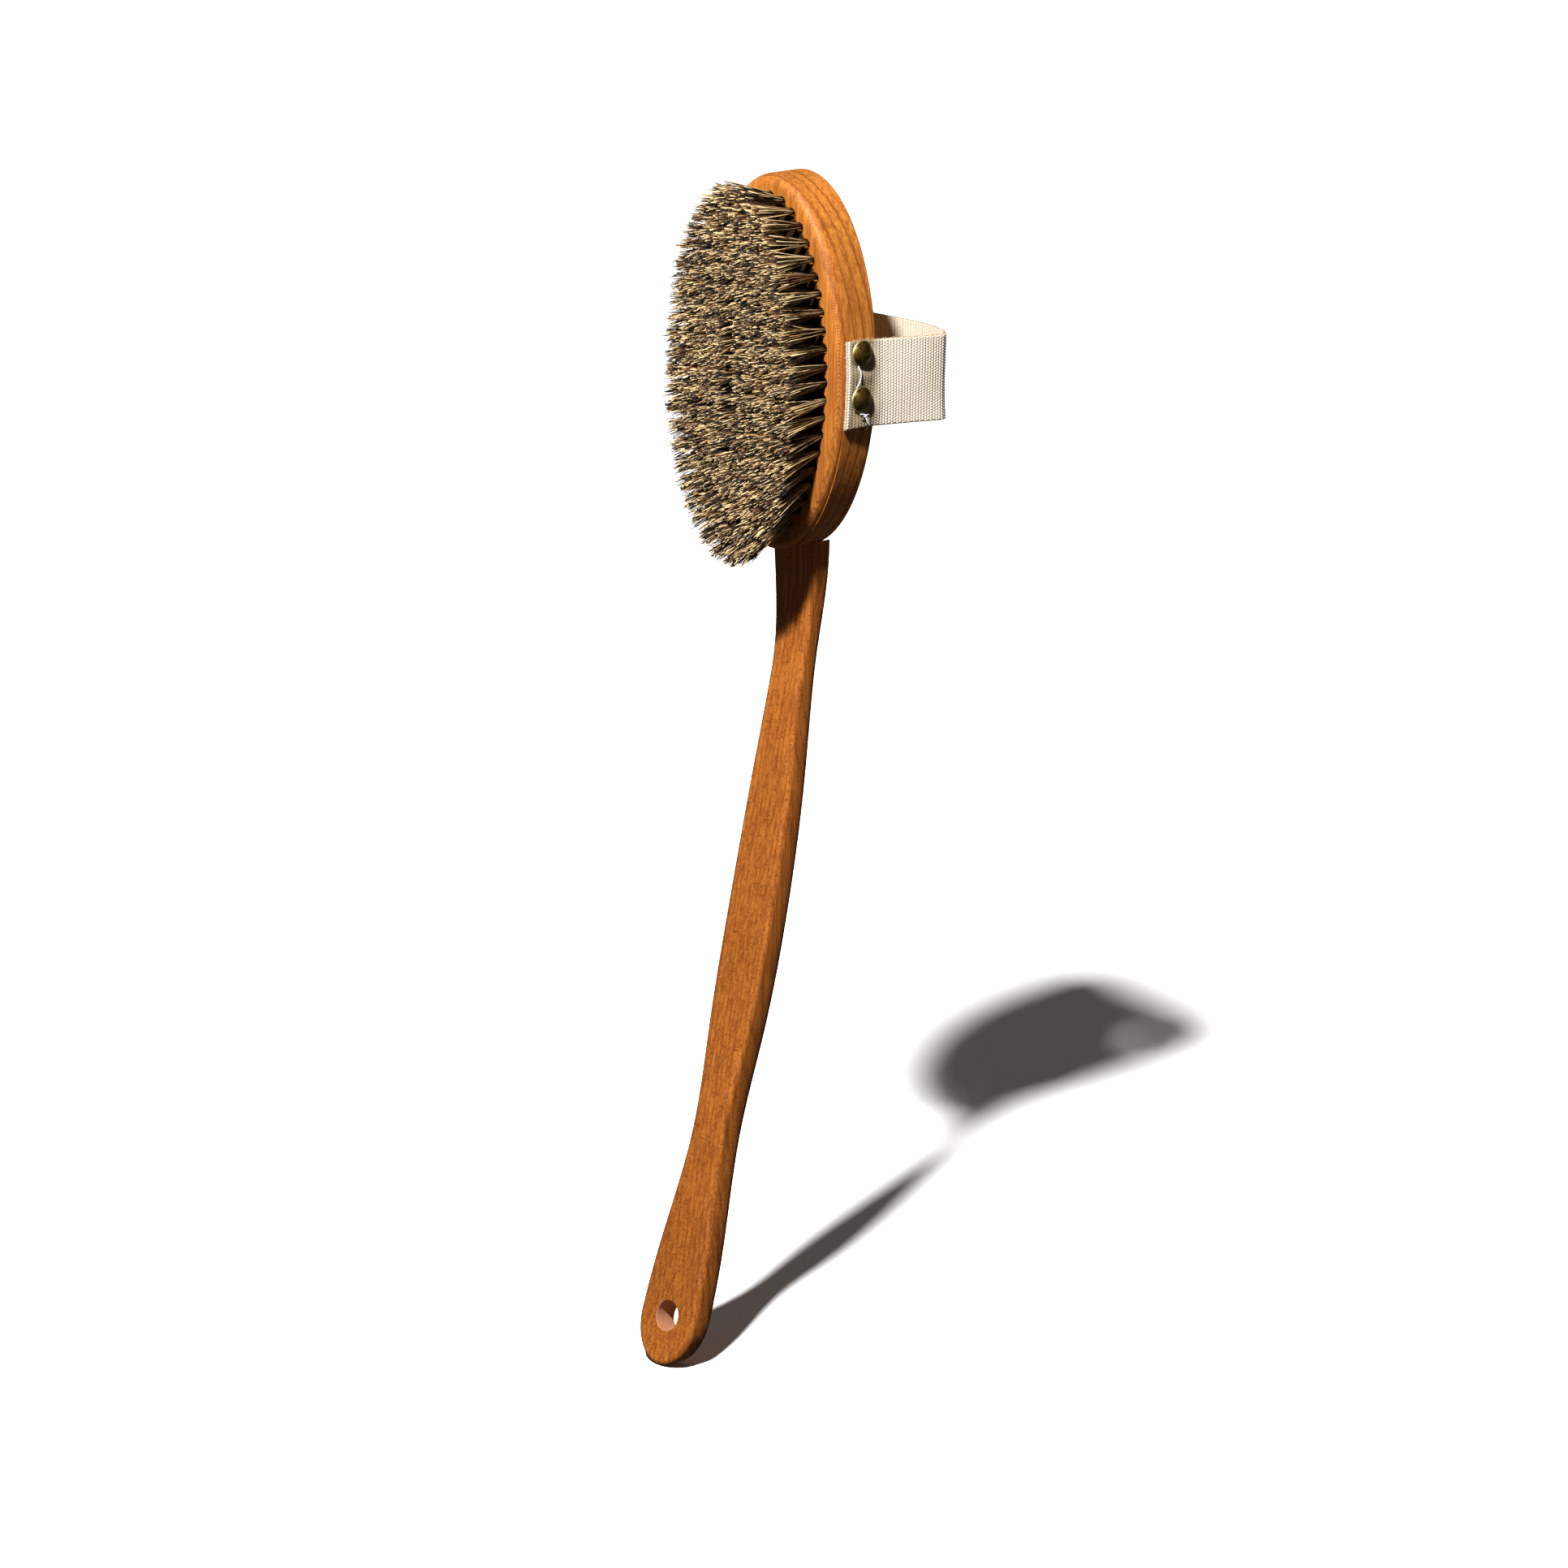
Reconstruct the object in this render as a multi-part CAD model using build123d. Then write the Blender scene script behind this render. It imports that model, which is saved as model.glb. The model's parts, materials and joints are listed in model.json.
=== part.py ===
"""Long-handled body dry brush: beech head with fibre tufts and a webbing hand strap, on a pull-off handle.

Millimetres. X is across the brush, -Y is the bristle side, +Z runs up the handle to the head.
The origin is the middle of the hanging hole at the handle's free end.
"""
import os
from math import asin, cos, degrees, hypot, pi, radians, sin, sqrt, tan

from build123d import *

# Head block
HEAD_LENGTH = 136.0
HEAD_WIDTH = 73.8
HEAD_CENTRE_Z = 349.3
BACK_RIM_Y = 61.0
SIDE_WALL = 14.2
BEAD_DEPTH = 3.7
BEAD_STEP = 0.4
BEAD_RADIUS = 3.3
BACK_CROWN = 3.5
BACK_EDGE_RADIUS = 0.8

# Tufts
TUFT_HOLE_RADIUS = 2.1
TUFT_HOLE_DEPTH = 6.2
TUFT_ROOT_RADIUS = 2.0
TUFT_TIP_RADIUS = 2.6
TUFT_REACH = 20.7
TUFT_PITCH = 6.35
RING_STEP_SIDE = 5.87
TUFT_MARGIN_SIDE = 8.6
TUFT_MARGIN_END = 8.0
RING_COUNT = 5
SPLAY_END_DEGREES = 22.0
SPLAY_SIDE_DEGREES = 9.0
DROOP_DEGREES = -4.0
STAPLE_WIDTH = 3.4
STAPLE_HEIGHT = 1.6
STAPLE_THICKNESS = 0.45
STAPLE_ABOVE_HOLE_FLOOR = 1.3

# Handle
GRIP_BEND_RADIUS = 1600.0
END_TILT_DEGREES = 17.8
GRIP_BEND_TOP_Z = 244.0
NECK_BEND_RADIUS = 90.0
END_HALF_WIDTH = 14.3
END_ROUND = 16.8
FRONT_EDGE = 1.8
BACK_EDGE = 2.8
TONGUE_WIDTH = 19.6
TONGUE_THICKNESS = 3.6
TONGUE_LENGTH = 36.0
TONGUE_BACK_SETBACK = 1.5
TONGUE_CLEARANCE = 0.15
SHOULDER_GAP = 0.3
HANGING_HOLE_RADIUS = 5.5
HANGING_HOLE_EDGE = 0.4

# Half width of the handle at each height above the hole, its thickness, and what its back adds under the head
HALF_WIDTHS = [(30, 12.2), (66, 8.3), (105, 10.4), (150, 11.6), (195, 10.3), (238, 8.2), (286, 11.8)]
THICKNESSES = [(-22, 9.2), (0, 9.5), (55, 10.7), (130, 10.4), (190, 9.7), (225, 9.2), (244, 7.9), (262, 6.4), (286, 6.2)]
NECK_BACK_SWELLS = {244: 0.3, 262: 2.0, 286: 2.4}

# Strap and its fixings
STRAP_WIDTH = 31.2
STRAP_THICKNESS = 1.6
STRAP_DROP = 2.8
STRAP_GAP_TO_WALL = 0.1
STRAP_END_AHEAD_OF_CREASE = 1.1
STRAP_LEG_BEHIND_RIM = 35.0
STRAP_BULGE = 8.0
STRAP_CORNER_RADIUS = 5.0
STUD_RADIUS = 4.75
STUD_DOME_HEIGHT = 2.6
STUD_SHELL = 0.5
STUD_AHEAD_OF_RIM = 9.0
STUD_HEIGHTS = {"upper": 8.2, "lower": -8.3}
PIN_RADIUS = 0.8
PIN_IN_WOOD = 10.0
PIN_POINT = 2.5
THREAD_RADIUS = 0.4

HALF_LENGTH = HEAD_LENGTH / 2
HALF_WIDTH = HEAD_WIDTH / 2
CREASE_Y = BACK_RIM_Y - SIDE_WALL
FACE_Y = CREASE_Y - BEAD_DEPTH
HEAD_BOTTOM_Z = HEAD_CENTRE_Z - HALF_LENGTH
STRAP_CENTRE_Z = HEAD_CENTRE_Z - STRAP_DROP
STRAP_OUTER_X = HALF_WIDTH + STRAP_GAP_TO_WALL + STRAP_THICKNESS
STUD_Y = BACK_RIM_Y - STUD_AHEAD_OF_RIM
STAPLE_Z = STAPLE_ABOVE_HOLE_FLOOR + STAPLE_HEIGHT / 2 - TUFT_HOLE_DEPTH


def across(y):
    """A sketch plane facing the bristle side at this Y, with its own x along X and its y along Z."""
    return Plane(origin=(0, y, 0), x_dir=(1, 0, 0), z_dir=(0, -1, 0))


def oval(y, inset, depth):
    """A slab with the head's outline, pulled in by the inset and running forward from y by the depth."""
    outline = Ellipse(HALF_WIDTH - inset, HALF_LENGTH - inset)
    return extrude(across(y) * Pos(0, HEAD_CENTRE_Z) * outline, amount=depth)


def crown():
    """A wide shallow ellipsoid whose cap stands above the back rim by the crown height."""
    spread = 3.0
    share = sqrt(1 - 1 / spread**2)
    height = BACK_CROWN / (1 - share)
    ball = scale(Sphere(1), by=(HALF_WIDTH * spread, height, HALF_LENGTH * spread))
    return Pos(0, BACK_RIM_Y - share * height, HEAD_CENTRE_Z) * ball


def on_edge(ring):
    """The points of one ring of tufts and the direction of each, evenly spaced round its oval."""
    half_x = HALF_WIDTH - TUFT_MARGIN_SIDE - ring * RING_STEP_SIDE
    half_z = HALF_LENGTH - TUFT_MARGIN_END - ring * TUFT_PITCH
    steps = 720
    turns = [2 * pi * i / steps for i in range(steps + 1)]
    path = [(half_x * sin(turn), -half_z * cos(turn)) for turn in turns]
    lengths = [0.0]
    for here, there in zip(path, path[1:]):
        lengths.append(lengths[-1] + hypot(there[0] - here[0], there[1] - here[1]))
    count = 2 * round(lengths[-1] / TUFT_PITCH / 2)
    points = []
    for k in range(count):
        wanted = (k + 0.5 * (ring % 2)) * lengths[-1] / count
        i = next(j for j, length in enumerate(lengths) if length >= wanted)
        points.append(path[i])
    return points


def tuft_places(ring):
    """Where each tuft of a ring leaves the face: local z along the tuft, local x across the head."""
    places = []
    for x, z in on_edge(ring):
        lean_z = tan(radians(DROOP_DEGREES + SPLAY_END_DEGREES * z / HALF_LENGTH))
        lean_x = tan(radians(SPLAY_SIDE_DEGREES * x / HALF_WIDTH))
        origin = (x, FACE_Y, HEAD_CENTRE_Z + z)
        places.append(Plane(origin=origin, x_dir=(1, 0.0, 0), z_dir=(lean_x, -1, lean_z)))
    return places


def tuft():
    """One tuft on the local z axis, with its root in the hole and a slot where the staple holds it."""
    root = Pos(0, 0, -TUFT_HOLE_DEPTH / 2 + 0.1) * Cylinder(TUFT_ROOT_RADIUS, TUFT_HOLE_DEPTH - 0.2)
    flare = Pos(0, 0, TUFT_REACH / 2) * Cone(TUFT_ROOT_RADIUS, TUFT_TIP_RADIUS, TUFT_REACH)
    slot = Box(TUFT_HOLE_RADIUS * 2, STAPLE_THICKNESS + 0.1, STAPLE_HEIGHT + 0.1)
    return root + flare - Pos(0, 0, STAPLE_Z) * slot


def staple():
    """One flat wire staple, the bent anchor that pins a tuft in its hole."""
    return Pos(0, 0, STAPLE_Z) * Box(STAPLE_WIDTH, STAPLE_THICKNESS, STAPLE_HEIGHT)


def copies(solid, places):
    """The same solid once at each place, as one group of separate solids."""
    return Compound(children=[place.location * solid for place in places])


def tongue_block(clearance):
    """The flat tongue that plugs into the head, or the mortise for it when given a clearance."""
    start = HEAD_BOTTOM_Z - 8
    end = HEAD_BOTTOM_Z + TONGUE_LENGTH + 2 * clearance
    size = (TONGUE_WIDTH + 2 * clearance, TONGUE_THICKNESS + 2 * clearance, end - start)
    middle_y = BACK_RIM_Y - TONGUE_BACK_SETBACK - TONGUE_THICKNESS / 2
    block = Pos(0, middle_y, (start + end) / 2) * Box(*size)
    if clearance:
        return block
    return fillet(block.edges().filter_by(Axis.Z), 0.6)


def pin_axis(side, height):
    """The line of one stud: local z points outwards from the side wall."""
    origin = (side * STRAP_OUTER_X, STUD_Y, HEAD_CENTRE_Z + height)
    return Plane(origin=origin, x_dir=(0, 0, 1), z_dir=(side, 0, 0))


def head_block():
    """The oval wooden head: side wall, front bead, crowned back, mortise, tuft holes and pilot holes."""
    body = oval(BACK_RIM_Y + BACK_CROWN + 1, 0, SIDE_WALL + BACK_CROWN + 1) & crown()
    back_edges = body.edges().filter_by(lambda e: abs(e.center(CenterOf.BOUNDING_BOX).Y - BACK_RIM_Y) < 1.5)
    body = fillet(back_edges, BACK_EDGE_RADIUS)
    bead = oval(CREASE_Y + 1, BEAD_STEP, BEAD_DEPTH + 1)
    bead = fillet(bead.faces().sort_by(Axis.Y)[0].edges(), BEAD_RADIUS)
    body = body + bead - tongue_block(TONGUE_CLEARANCE)
    hole = Pos(0, 0, -TUFT_HOLE_DEPTH / 2 + 2) * Cylinder(TUFT_HOLE_RADIUS, TUFT_HOLE_DEPTH + 4)
    holes = [place.location * hole for ring in range(RING_COUNT) for place in tuft_places(ring)]
    for side in (1, -1):
        for height in STUD_HEIGHTS.values():
            holes.append(pin_axis(side, height).location * pin(0.02))
    return body.cut(*holes)


def bend(z):
    """The middle of the handle at height z: its Y and its lean from upright in radians."""
    start = sin(radians(END_TILT_DEGREES))
    low = min(z, GRIP_BEND_TOP_Z)
    lean = asin(start - low / GRIP_BEND_RADIUS)
    y = GRIP_BEND_RADIUS * (cos(lean) - cos(asin(start)))
    if z > low:
        top = max(0.0, sin(lean) - (z - low) / NECK_BEND_RADIUS)
        y += NECK_BEND_RADIUS * (sqrt(1 - top**2) - cos(lean))
        lean = asin(top)
    return y, lean


def long_rim(body, side):
    """The edges round the front (0) or back (-1) face of the handle, without the ones at its top end."""
    broad = body.faces().sort_by(SortBy.AREA)[-2:].sort_by(Axis.Y)[side]
    return broad.edges().filter_by(lambda e: e.center(CenterOf.BOUNDING_BOX).Z < HALF_WIDTHS[-1][0] - 1)


def blank():
    """The curved handle: its front outline crossed with its side outline, with the long edges rounded."""
    sides = []
    for side in (1, -1):
        points = [(side * END_HALF_WIDTH, 0)] + [(side * half, z) for z, half in HALF_WIDTHS]
        sides.append(Spline(points, tangents=[(0, 1), (side * 0.05, 1)]))
    end = EllipticalCenterArc((0, 0), END_HALF_WIDTH, END_ROUND, start_angle=180, arc_size=180)
    top = Line(sides[0] @ 1, sides[1] @ 1)
    front = make_face([sides[0], sides[1], end, top])
    front = extrude(across(BACK_RIM_Y + 10) * front, amount=BACK_RIM_Y + 30)
    faces = []
    for way in (-1, 1):
        points = []
        for z, thickness in THICKNESSES:
            y, lean = bend(z)
            swell = NECK_BACK_SWELLS.get(z, 0) if way == 1 else 0
            points.append((y + swell + way * thickness / 2 / cos(lean), z))
        faces.append(Spline(points))
    ends = [Line(faces[0] @ at, faces[1] @ at) for at in (0, 1)]
    side_plane = Plane(origin=(-20, 0, 0), x_dir=(0, 1, 0), z_dir=(1, 0, 0))
    body = front & extrude(side_plane * make_face(faces + ends), amount=40)
    body = fillet(long_rim(body, 0), FRONT_EDGE)
    return fillet(long_rim(body, -1), BACK_EDGE)


def handle():
    """The whole wooden handle in one piece: grip and neck coped to the head's curved end, tongue, hanging hole."""
    lean = bend(0)[1]
    hole = Rot(90 - degrees(lean), 0, 0) * Cylinder(HANGING_HOLE_RADIUS, 40)
    body = blank() - oval(BACK_RIM_Y + 20, -SHOULDER_GAP, 60) + tongue_block(0) - hole
    rims = body.edges().filter_by(lambda e: e.center(CenterOf.BOUNDING_BOX).Z < 10 and 30 < e.length < 40)
    return fillet(rims, HANGING_HOLE_EDGE)


def strap():
    """The webbing band: a leg up each side wall and a bulging back, as one loop of even thickness."""
    leg_x = STRAP_OUTER_X - STRAP_THICKNESS / 2
    corner_y = BACK_RIM_Y + STRAP_LEG_BEHIND_RIM
    end_y = CREASE_Y - STRAP_END_AHEAD_OF_CREASE
    arc = ThreePointArc((leg_x, corner_y), (0, corner_y + STRAP_BULGE), (-leg_x, corner_y))
    path = FilletPolyline((leg_x, end_y), (leg_x, corner_y), arc @ 0.2, radius=STRAP_CORNER_RADIUS)
    half = Wire(path.edges())
    middle = Spline([path @ 1, (0, corner_y + STRAP_BULGE), (-(path @ 1).X, (path @ 1).Y)],
                    tangents=[path % 1, Vector((path % 1).X, -(path % 1).Y)])
    mirrored = mirror(half, Plane.YZ)
    band = trace([half, middle, mirrored], STRAP_THICKNESS)
    low = STRAP_CENTRE_Z - STRAP_WIDTH / 2
    body = extrude(Pos(0, 0, low) * band, amount=STRAP_WIDTH, dir=(0, 0, 1))
    pins = []
    for side in (1, -1):
        for height in STUD_HEIGHTS.values():
            pins.append(pin_axis(side, height).location * Cylinder(PIN_RADIUS + 0.02, 4 * STRAP_THICKNESS))
    return body.cut(*pins)


def stud_cap():
    """One hollow domed nail head on the local z axis."""
    radius = (STUD_RADIUS**2 + STUD_DOME_HEIGHT**2) / (2 * STUD_DOME_HEIGHT)
    centre = Pos(0, 0, STUD_DOME_HEIGHT - radius)
    slab = Pos(0, 0, STUD_DOME_HEIGHT) * Cylinder(STUD_RADIUS * 2, STUD_DOME_HEIGHT * 2)
    return (centre * Sphere(radius) - centre * Sphere(radius - STUD_SHELL)) & slab


def pin(extra):
    """One nail pin on the local z axis, from under its dome down to its point in the wood."""
    top = STUD_DOME_HEIGHT - STUD_SHELL - 0.1
    point_z = -(STRAP_THICKNESS + STRAP_GAP_TO_WALL + PIN_IN_WOOD)
    length = top - point_z - PIN_POINT
    shank = Pos(0, 0, top - length / 2) * Cylinder(PIN_RADIUS + extra, length)
    tip = Pos(0, 0, point_z + PIN_POINT / 2) * Cone(0.15, PIN_RADIUS + extra, PIN_POINT)
    return shank + tip


def thread():
    """The tacking thread on the right leg: a stitch between the studs and its knot with two tails below."""
    x = STRAP_OUTER_X + THREAD_RADIUS + 0.05
    y = STUD_Y - 0.6
    z = HEAD_CENTRE_Z
    stitch = Pos(x, y, z) * Cylinder(THREAD_RADIUS, 6.6)
    knot = Pos(x + 0.3, y + 0.4, z - 13.9) * Sphere(0.7)
    tails = []
    for lean in (18, -32):
        tails.append(Pos(x, y + 0.4, z - 13.9) * Rot(lean, 0, 0) * Pos(0, 0, -1.6) * Cylinder(0.3, 3.2))
    return Compound(children=[stitch, knot + tails[0] + tails[1]])


def save(shape, name):
    """Write one node."""
    shape.label = name
    export_step(shape, f"parts/{name}.step")
    print(name, round(shape.volume), len(shape.solids()))


def main():
    """Build every node and write it to parts/."""
    os.makedirs("parts", exist_ok=True)
    save(head_block(), "head_block")
    save(handle(), "handle")
    save(strap(), "strap")
    for ring in range(RING_COUNT):
        places = tuft_places(ring)
        save(copies(tuft(), places), f"bristle_tufts_ring_{ring + 1}")
        save(copies(staple(), places), f"tuft_staples_ring_{ring + 1}")
    for side_name, side in (("right", 1), ("left", -1)):
        for level, height in STUD_HEIGHTS.items():
            line = pin_axis(side, height).location
            save(line * stud_cap(), f"stud_cap_{side_name}_{level}")
            save(line * pin(0), f"stud_pin_{side_name}_{level}")
    save(thread(), "strap_thread")


main()
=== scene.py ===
import json
import math

import bpy
import numpy as np
from mathutils import Matrix, Vector

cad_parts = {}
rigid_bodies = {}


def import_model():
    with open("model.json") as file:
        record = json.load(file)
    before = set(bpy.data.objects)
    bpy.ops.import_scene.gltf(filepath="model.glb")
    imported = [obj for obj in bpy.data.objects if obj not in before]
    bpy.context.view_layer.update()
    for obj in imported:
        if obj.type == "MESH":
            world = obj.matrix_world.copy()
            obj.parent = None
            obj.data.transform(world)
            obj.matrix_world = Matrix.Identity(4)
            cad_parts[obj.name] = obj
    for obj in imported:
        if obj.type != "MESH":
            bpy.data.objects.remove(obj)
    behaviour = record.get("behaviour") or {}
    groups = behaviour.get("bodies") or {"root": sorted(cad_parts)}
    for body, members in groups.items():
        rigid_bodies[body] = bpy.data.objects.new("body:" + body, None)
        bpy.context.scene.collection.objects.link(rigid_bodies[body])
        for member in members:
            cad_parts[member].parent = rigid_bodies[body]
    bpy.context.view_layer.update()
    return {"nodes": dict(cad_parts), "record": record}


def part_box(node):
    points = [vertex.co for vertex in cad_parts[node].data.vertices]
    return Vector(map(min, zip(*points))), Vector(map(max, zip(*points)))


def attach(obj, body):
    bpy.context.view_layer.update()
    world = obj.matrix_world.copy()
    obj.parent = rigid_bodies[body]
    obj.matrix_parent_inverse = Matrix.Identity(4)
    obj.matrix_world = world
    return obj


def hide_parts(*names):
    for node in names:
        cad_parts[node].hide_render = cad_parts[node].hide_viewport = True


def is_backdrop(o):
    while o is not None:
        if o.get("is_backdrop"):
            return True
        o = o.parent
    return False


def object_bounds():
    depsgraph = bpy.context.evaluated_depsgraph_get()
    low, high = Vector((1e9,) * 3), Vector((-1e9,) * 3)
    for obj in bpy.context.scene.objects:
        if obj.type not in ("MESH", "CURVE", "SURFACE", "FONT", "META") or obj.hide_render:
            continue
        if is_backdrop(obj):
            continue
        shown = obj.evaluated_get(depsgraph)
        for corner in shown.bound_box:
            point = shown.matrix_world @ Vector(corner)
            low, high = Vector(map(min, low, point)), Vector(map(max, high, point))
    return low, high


for spare in list(bpy.data.objects):  # an empty scene, whatever it opened with
    bpy.data.objects.remove(spare)
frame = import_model()
nodes = frame["nodes"]
print("frame loaded,", len(nodes), "nodes")


# small tools for building materials
def linear(red, green, blue):  # screen colour 0 to 255, as the shaders want it
    shares = [c / 255 for c in (red, green, blue)]
    return [c / 12.92 if c < 0.04045 else ((c + 0.055) / 1.055) ** 2.4 for c in shares] + [1]


def addNode(tree, kind, **settings):
    made = tree.nodes.new(kind)
    for name, value in settings.items():
        setattr(made, name, value)
    return made


def feed(tree, socket, value):  # a link if it is a socket, else a plain value
    if isinstance(value, bpy.types.NodeSocket):
        tree.links.new(value, socket)
    elif value is not None:
        socket.default_value = value


def sums(tree, operation, *values, clamp=False):
    step = addNode(tree, "ShaderNodeMath", operation=operation, use_clamp=clamp)
    for socket, value in zip(step.inputs, values):
        feed(tree, socket, value)
    return step.outputs[0]


def vectorSums(tree, operation, *values, out=0):
    step = addNode(tree, "ShaderNodeVectorMath", operation=operation)
    for socket, value in zip(step.inputs, values):
        feed(tree, socket, value)
    return step.outputs[out]


def ease(tree, value, low, high, toLow=0.0, toHigh=1.0):  # a smooth step between two values
    step = addNode(tree, "ShaderNodeMapRange", interpolation_type="SMOOTHSTEP")
    ends = {"Value": value, "From Min": low, "From Max": high, "To Min": toLow, "To Max": toHigh}
    for name, wanted in ends.items():
        feed(tree, step.inputs[name], wanted)
    return step.outputs["Result"]


def speckle(tree, where, stretch, scale=1.0, detail=3.0, rough=0.55, warp=0.0):  # noise over stretched places
    place = vectorSums(tree, "MULTIPLY", where, stretch)
    noise = addNode(tree, "ShaderNodeTexNoise")
    feed(tree, noise.inputs["Vector"], place)
    for name, value in (("Scale", scale), ("Detail", detail), ("Roughness", rough), ("Distortion", warp)):
        noise.inputs[name].default_value = value
    return noise.outputs["Fac"]


def socketNamed(sockets, name, kind="RGBA"):
    return next(s for s in sockets if s.name == name and s.type == kind)


def mixedColour(tree, share, first, second, blend="MIX"):
    step = addNode(tree, "ShaderNodeMix", data_type="RGBA", blend_type=blend, clamp_factor=True)
    feed(tree, step.inputs[0], share)
    feed(tree, socketNamed(step.inputs, "A"), first)
    feed(tree, socketNamed(step.inputs, "B"), second)
    return socketNamed(step.outputs, "Result")


def grey(tree, value):
    join = addNode(tree, "ShaderNodeCombineColor")
    for socket in join.inputs:
        feed(tree, socket, value)
    return join.outputs[0]


def toned(tree, colour, value):  # a colour made lighter or darker by a plain value
    return mixedColour(tree, 1.0, colour, grey(tree, value), blend="MULTIPLY")


def threeParts(tree, vector):
    split = addNode(tree, "ShaderNodeSeparateXYZ")
    feed(tree, split.inputs[0], vector)
    return split.outputs


def lengthOf(tree, x, y):
    return sums(tree, "SQRT", sums(tree, "ADD", sums(tree, "MULTIPLY", x, x), sums(tree, "MULTIPLY", y, y)))


def newGroup(name, inputs, outputs):
    group = bpy.data.node_groups.new(name, "ShaderNodeTree")
    for label, kind, value in inputs:
        group.interface.new_socket(name=label, in_out="INPUT", socket_type=kind).default_value = value
    for label, kind in outputs:
        group.interface.new_socket(name=label, in_out="OUTPUT", socket_type=kind)
    return group, addNode(group, "NodeGroupInput").outputs, addNode(group, "NodeGroupOutput").inputs


def place(tree, group, **values):  # one group in a material, with its own values
    made = addNode(tree, "ShaderNodeGroup", node_tree=group)
    for name, value in values.items():
        feed(tree, made.inputs[name], value)
    return made.outputs


def newMaterial(name, roughness, metallic=0.0, specular=0.5):
    made = bpy.data.materials.new(name)
    made.use_nodes = True
    tree = made.node_tree
    shader = tree.nodes["Principled BSDF"]
    shader.inputs["Roughness"].default_value = roughness
    shader.inputs["Metallic"].default_value = metallic
    shader.inputs["Specular IOR Level"].default_value = specular
    return made, tree, shader


def bump(tree, shader, height, strength, distance):
    step = addNode(tree, "ShaderNodeBump")
    step.inputs["Strength"].default_value = strength
    step.inputs["Distance"].default_value = distance
    feed(tree, step.inputs["Height"], height)
    feed(tree, shader.inputs["Normal"], step.outputs["Normal"])


def objectPlace(tree):
    return addNode(tree, "ShaderNodeTexCoord").outputs["Object"]


# effects that several finishes share
plainSocket, placeSocket = "NodeSocketFloat", "NodeSocketVector"
timberScale = {  # how often each kind of figure repeats in a metre, across and along the board
    "waver": (60, 60, 14), "broad": (700, 700, 7), "fine": (2600, 2600, 36),
    "flecks": (520, 900, 2600), "blotches": (26, 26, 9), "yearStep": 0.37, "palestYear": 0.35,
}


def makeTimberGroup():  # solid growth rings, fine grain and ray flecks
    scale = timberScale
    group, given, out = newGroup(
        "timberFigure",
        [("Place", placeSocket, (0, 0, 0)), ("Pith", placeSocket, (0, 0, 0)), ("Lean", placeSocket, (0, 0, 0)),
         ("Ring Pitch", plainSocket, 0.0016), ("Wander", plainSocket, 0.0015)],
        [("Rings", plainSocket), ("Grain", plainSocket), ("Flecks", plainSocket), ("Blotches", plainSocket)])
    where = given["Place"]
    apart = threeParts(group, vectorSums(group, "SUBTRACT", where, given["Pith"]))
    slope = threeParts(group, given["Lean"])
    x = sums(group, "MULTIPLY_ADD", apart["Z"], slope["X"], apart["X"])
    y = sums(group, "MULTIPLY_ADD", apart["Z"], slope["Y"], apart["Y"])
    waver = sums(group, "SUBTRACT", speckle(group, where, scale["waver"], detail=2.0), 0.5)
    radius = sums(group, "MULTIPLY_ADD", waver, given["Wander"], lengthOf(group, x, y))
    turn = sums(group, "DIVIDE", radius, given["Ring Pitch"])
    share = sums(group, "FRACT", turn)
    late = ease(group, share, 0.55, 0.93)
    drop = ease(group, share, 0.93, 1.0, 1.0, 0.0)
    yearly = addNode(group, "ShaderNodeTexNoise", noise_dimensions="1D")  # some years darker than others
    feed(group, yearly.inputs["W"], sums(group, "MULTIPLY", sums(group, "FLOOR", turn), scale["yearStep"]))
    strength = ease(group, yearly.outputs["Fac"], 0.3, 0.7, scale["palestYear"], 1.0)
    feed(group, out["Rings"], sums(group, "MULTIPLY", sums(group, "MULTIPLY", late, drop), strength))
    broad = speckle(group, where, scale["broad"], detail=4.0, rough=0.6)
    fine = speckle(group, where, scale["fine"], detail=2.0)
    feed(group, out["Grain"], sums(group, "MULTIPLY_ADD", fine, 0.45, sums(group, "MULTIPLY", broad, 0.55)))
    dashes = speckle(group, where, scale["flecks"], detail=1.0, rough=0.4)
    feed(group, out["Flecks"], ease(group, dashes, 0.60, 0.70))
    feed(group, out["Blotches"], speckle(group, where, scale["blotches"], detail=2.0))
    return group


def makeSoilingGroup():  # handling marks: a soft uneven mask
    group, given, out = newGroup(
        "handling",
        [("Place", placeSocket, (0, 0, 0)), ("Size", plainSocket, 0.01)],
        [("Mask", plainSocket), ("Specks", plainSocket)])
    near = vectorSums(group, "DIVIDE", given["Place"], given["Size"])
    feed(group, out["Mask"], ease(group, speckle(group, near, (1, 1, 1), detail=4.0, rough=0.65), 0.35, 0.68))
    feed(group, out["Specks"], ease(group, speckle(group, near, (9, 9, 9), detail=2.0), 0.62, 0.75))
    return group


timberFigure = makeTimberGroup()
handling = makeSoilingGroup()

beechLook = {
    "pale": linear(200, 126, 50), "deep": linear(152, 84, 29), "ring": linear(104, 50, 16),
    # the two near-black colours here are painted shade: one on the back edges of the handle's sides, one on the wood
    # between the tufts
    "fleck": linear(98, 48, 18), "darkening": linear(16, 8, 4), "bare": linear(196, 140, 106), "tuftGapShade": linear(12, 8, 6),
    "roughness": 0.48, "specular": 0.24, "backShadeShare": 0.8, "bareShare": 0.75, "tuftGapShadeShare": 0.93,
    "gripFrom": -0.01, "gripTo": 0.27, "poreDepth": 0.00025,
}
gripCurve = 1.6  # radius of the grip's long bend, in metres


def ringFigure(tree, where, facts):
    return place(tree, timberFigure, **{
        "Place": where, "Pith": facts["pith"], "Lean": facts["lean"],
        "Ring Pitch": facts["pitch"], "Wander": facts["wander"]})


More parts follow.
